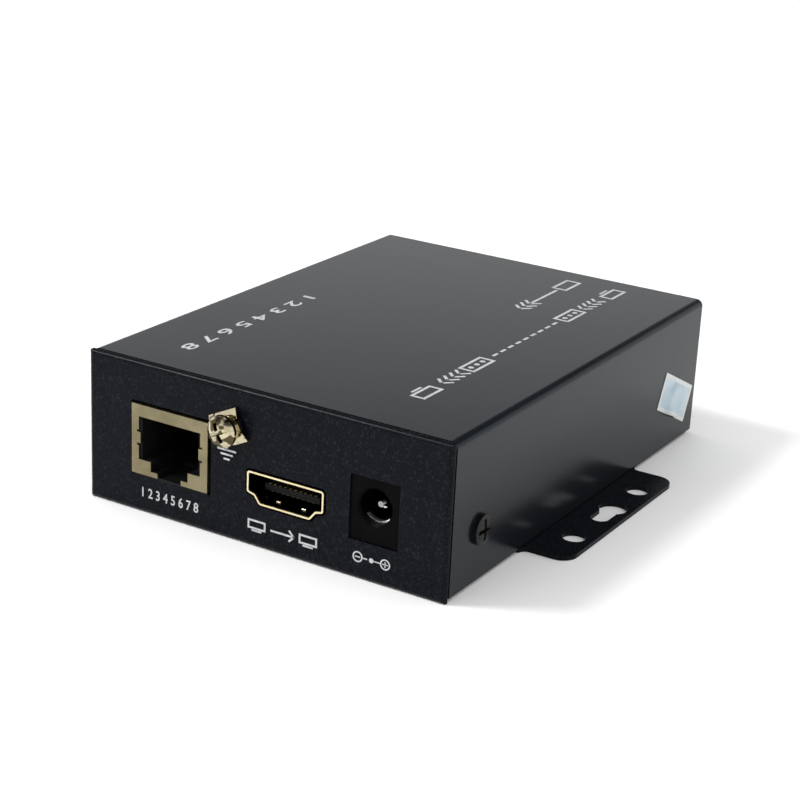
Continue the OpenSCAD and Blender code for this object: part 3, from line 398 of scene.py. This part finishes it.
screenMark = {
    "middle": 4.8, "level": 3.85, "apart": 5.1, "line": 0.34,
    "glass": (3.6, 1.7), "glassLift": 0.2, "foot": (2.0, 0.3), "footDrop": 0.9,
    "arrow": 4.4, "arrowShift": -0.1, "tip": 1.7, "tipShift": 1.9,
}
middle = screenMark["middle"]
level = screenMark["level"]
line = screenMark["line"]
bm = bmesh.new()
for side in (-1, 1):
    screenMiddle = middle + side * screenMark["apart"]
    frameBox(bm, screenMiddle, level + screenMark["glassLift"], screenMark["glass"], line)
    bar(bm, screenMiddle, level - screenMark["footDrop"], *screenMark["foot"])
bar(bm, middle + screenMark["arrowShift"], level, screenMark["arrow"], line)
arrowTip(bm, middle + screenMark["tipShift"], level, screenMark["tip"], line)
printed("screenMark", bm, frontPlace, whiteInk)

plugMark = {
    "middle": 22.1, "level": 3.95, "radius": 0.95, "apart": 2.6, "line": 0.24,
    "sign": (1.0, 0.2), "dot": 0.42,  # length and line of the plus and minus, and the middle dot
    "wires": [(1.0, 1.3), (-1.25, 0.9)],  # place from the middle, and length
}
signLength, signLine = plugMark["sign"]
bm = bmesh.new()
for side in (-1, 1):
    signMiddle = plugMark["middle"] + side * plugMark["apart"]
    ring(bm, signMiddle, plugMark["level"], plugMark["radius"], plugMark["line"])
    bar(bm, signMiddle, plugMark["level"], signLength, signLine)
bar(bm, plugMark["middle"] + plugMark["apart"], plugMark["level"], signLine, signLength)
disc(bm, plugMark["middle"], plugMark["level"], plugMark["dot"])
for shift, length in plugMark["wires"]:
    bar(bm, plugMark["middle"] + shift, plugMark["level"], length, signLine)
printed("plugMark", bm, frontPlace, whiteInk)

linkMark = {
    "left": 18.3, "start": 42.7, "middle": 1.85, "line": 0.55,
    "screens": (3.2, 72.8), "screen": (6.2, 2.9), "screenLift": 0.4,
    "foot": (3.0, 0.45), "footLevel": 0.25,
    "boxes": (20.5, 55.5), "box": (7.6, 3.3), "dots": (-2, 0, 2), "dot": 0.5,
    "tipRows": (9.2, 61.0), "tips": 4, "tipStep": 1.9, "tip": 2.6,
    "dashes": 9, "dashStart": 26.6, "dashStep": 2.8, "dash": 1.7,
}
middle = linkMark["middle"]
line = linkMark["line"]
bm = bmesh.new()
for u in linkMark["screens"]:
    frameBox(bm, u, middle + linkMark["screenLift"], linkMark["screen"], line)
    bar(bm, u, linkMark["footLevel"], *linkMark["foot"])
for u in linkMark["boxes"]:
    frameBox(bm, u, middle, linkMark["box"], line)
    for shift in linkMark["dots"]:
        disc(bm, u + shift, middle, linkMark["dot"])
for step in range(linkMark["tips"]):
    for u in linkMark["tipRows"]:
        arrowTip(bm, u + linkMark["tipStep"] * step, middle, linkMark["tip"], line)
for step in range(linkMark["dashes"]):
    bar(bm, linkMark["dashStart"] + linkMark["dashStep"] * step, middle, linkMark["dash"], line)
printed("linkMark", bm, coverPlace(linkMark), coverInk)

arrowMark = {
    "left": 9.1, "start": 42.4, "middle": 1.8, "line": 0.55,
    "screenAt": 3.4, "screen": (6.6, 3.3), "shaftAt": 12.6, "shaft": 10.4,
    "tipStart": 18.0, "tips": 3, "tipStep": 1.9, "tip": 3.0,
}
bm = bmesh.new()
frameBox(bm, arrowMark["screenAt"], arrowMark["middle"], arrowMark["screen"], arrowMark["line"])
bar(bm, arrowMark["shaftAt"], arrowMark["middle"], arrowMark["shaft"], arrowMark["line"])
for step in range(arrowMark["tips"]):
    arrowTip(bm, arrowMark["tipStart"] + arrowMark["tipStep"] * step, arrowMark["middle"],
             arrowMark["tip"], arrowMark["line"])
printed("arrowMark", bm, coverPlace(arrowMark), coverInk)

wireMark = {
    "numbers": "1 2 3 4 5 6 7 8", "left": -24.4, "start": 0.8,
    "height": 2.6, "length": 38.3, "weight": 0.05,
}
numerals("wireMark", wireMark, coverPlace(wireMark), coverInk)
print("prints laid")

# The film is drawn flat, then laid on the cover's side and lifted over the screw head.
sealSetup = {
    "length": 14.6, "width": 7.3, "tilt": 25.5, "middle": (38.27, 9.95),  # y and z on the side
    "cells": (60, 30), "gap": 0.02, "film": 0.1,
    "screw": (37.2, 9.5), "flat": 2.65, "foot": 3.9, "rise": 1.0,  # where the film bulges, and how far
    "border": 0.9, "borderBlur": 0.7, "paper": (0.62, 0.63, 0.62),
}
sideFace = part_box("top_cover")[1].x / mm
bm = bmesh.new()
bmesh.ops.create_grid(bm, x_segments=sealSetup["cells"][0], y_segments=sealSetup["cells"][1], size=0.5,
                      matrix=Matrix.Diagonal((sealSetup["length"], sealSetup["width"], 1, 1)))
uv = bm.loops.layers.uv.new("sealPlace")
for face in bm.faces:
    for loop in face.loops:
        loop[uv].uv = (loop.vert.co.x / sealSetup["length"] + 0.5, loop.vert.co.y / sealSetup["width"] + 0.5)
tilt = math.radians(-sealSetup["tilt"])
for vert in bm.verts:
    y = sealSetup["middle"][0] + vert.co.x * math.cos(tilt) - vert.co.y * math.sin(tilt)
    z = sealSetup["middle"][1] + vert.co.x * math.sin(tilt) + vert.co.y * math.cos(tilt)
    away = math.hypot(y - sealSetup["screw"][0], z - sealSetup["screw"][1])
    share = min(1, max(0, (sealSetup["foot"] - away) / (sealSetup["foot"] - sealSetup["flat"])))
    lift = sealSetup["rise"] * share * share * (3 - 2 * share)  # a smooth step
    vert.co = Vector((sideFace + sealSetup["gap"] + lift, y, z)) * mm
bmesh.ops.recalc_face_normals(bm, faces=bm.faces)
bm.normal_update()
if sum(f.normal.x for f in bm.faces) < 0:
    bmesh.ops.reverse_faces(bm, faces=bm.faces)
mesh = bpy.data.meshes.new("sealFilm")
bm.to_mesh(mesh)
bm.free()
for face in mesh.polygons:
    face.use_smooth = True
seal = bpy.data.objects.new("sealFilm", mesh)
scene.collection.objects.link(seal)
wall = seal.modifiers.new("filmWall", "SOLIDIFY")
wall.thickness = sealSetup["film"] * mm
wall.offset = 1
sealFinish = finish("sealFinish", (0.36, 0.47, 0.54), (0.47, 0.57, 0.63), patch=260,
                    rough=(0.3, 0.5), grain=1800, depth=0.00001, coat=0.3)
tree = sealFinish.node_tree
sealMap = tree.nodes.new("ShaderNodeUVMap")
sealMap.uv_map = "sealPlace"
spot = axes(tree, sealMap.outputs["UV"])
edges = []
for axis, side in (("X", "length"), ("Y", "width")):
    border = sealSetup["border"] / sealSetup[side]
    inner = border * sealSetup["borderBlur"]
    edges.append(combined(tree, "MAXIMUM", ranged(tree, spot[axis], (border, inner)),
                          ranged(tree, spot[axis], (1 - border, 1 - inner))))
repainted(tree, combined(tree, "MAXIMUM", *edges), over=sealSetup["paper"])
mesh.materials.append(sealFinish)
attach(seal, "chassis")
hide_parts("seal_sticker")
print("seal laid")

# Away from the object the paper sweeps into the white wall, so no horizon shows.
floorSetup = {"half": 6.0, "sweep": (0.22, 0.55)}  # metres
bm = bmesh.new()
bmesh.ops.create_grid(bm, x_segments=1, y_segments=1, size=floorSetup["half"])
mesh = bpy.data.meshes.new("studioFloor")
bm.to_mesh(mesh)
bm.free()
floor = bpy.data.objects.new("studioFloor", mesh)
scene.collection.objects.link(floor)
floorPaper = finish("floorPaper", (0.90, 0.90, 0.90), (0.93, 0.93, 0.93), patch=3,
                    rough=(0.8, 0.9), grain=900, depth=0.00001, specular=0.1)
mesh.materials.append(floorPaper)
tree = floorPaper.node_tree
reach = tree.nodes.new("ShaderNodeVectorMath")
reach.operation = "LENGTH"
tree.links.new(tree.nodes["place"].outputs["Object"], reach.inputs[0])
white = tree.nodes.new("ShaderNodeEmission")
blend = tree.nodes.new("ShaderNodeMixShader")
tree.links.new(combined(tree, "MULTIPLY", seenBy(tree, "Camera", "Glossy", "Transmission"),
                        ranged(tree, reach.outputs["Value"], floorSetup["sweep"])), blend.inputs["Fac"])
tree.links.new(tree.nodes["Principled BSDF"].outputs["BSDF"], blend.inputs[1])
tree.links.new(white.outputs["Emission"], blend.inputs[2])
tree.links.new(blend.outputs["Shader"], tree.nodes["Material Output"].inputs["Surface"])

studio = {
    "ambient": 0.88,
    "heights": (0.28, 0.44),  # of a mirrored ray's direction, from the wall to the ceiling
    "wallToCeiling": (1.0, 0.08),  # how bright a mirror sees them
    "ceilingTint": (0.86, 0.95, 1.0),
    "lamps": [  # name, place, size, power in watts
        ("edgeLight", (-0.7, -0.45, 1.0), 0.25, 8.5),
        ("leftSoftbox", (-1.0, 0.3, 1.3), 1.0, 1.0),
        ("rightSoftbox", (1.0, -0.6, 1.2), 0.8, 3.0),
        ("frontFill", (-0.5, -1.0, 0.8), 0.8, 1.0),
    ],
}
world = bpy.data.worlds.new("studioWorld")
scene.world = world
world.use_nodes = True
tree = world.node_tree
back = tree.nodes["Background"]
sky = tree.nodes.new("ShaderNodeTexCoord")
upward = axes(tree, sky.outputs["Generated"])["Z"]
level = ranged(tree, seenBy(tree, "Camera", "Transmission"), (0, 1), (studio["ambient"], 1.0))
room = ranged(tree, upward, studio["heights"], studio["wallToCeiling"])
mirrored = seenBy(tree, "Glossy")
tree.links.new(mixed(tree, mirrored, level, room, "FLOAT"), back.inputs["Strength"])
cool = combined(tree, "MULTIPLY", mirrored, ranged(tree, upward, studio["heights"]))
tree.links.new(mixed(tree, cool, (1, 1, 1), studio["ceilingTint"]), back.inputs["Color"])
for name, place, size, power in studio["lamps"]:
    lampData = bpy.data.lights.new(name, "AREA")
    lampData.shape = "SQUARE"
    lampData.size = size
    lampData.energy = power
    lamp = bpy.data.objects.new(name, lampData)
    lamp.location = place
    lamp.rotation_euler = (-Vector(place)).to_track_quat("-Z", "Y").to_euler()  # aimed at the origin
    scene.collection.objects.link(lamp)
print("studio lit")
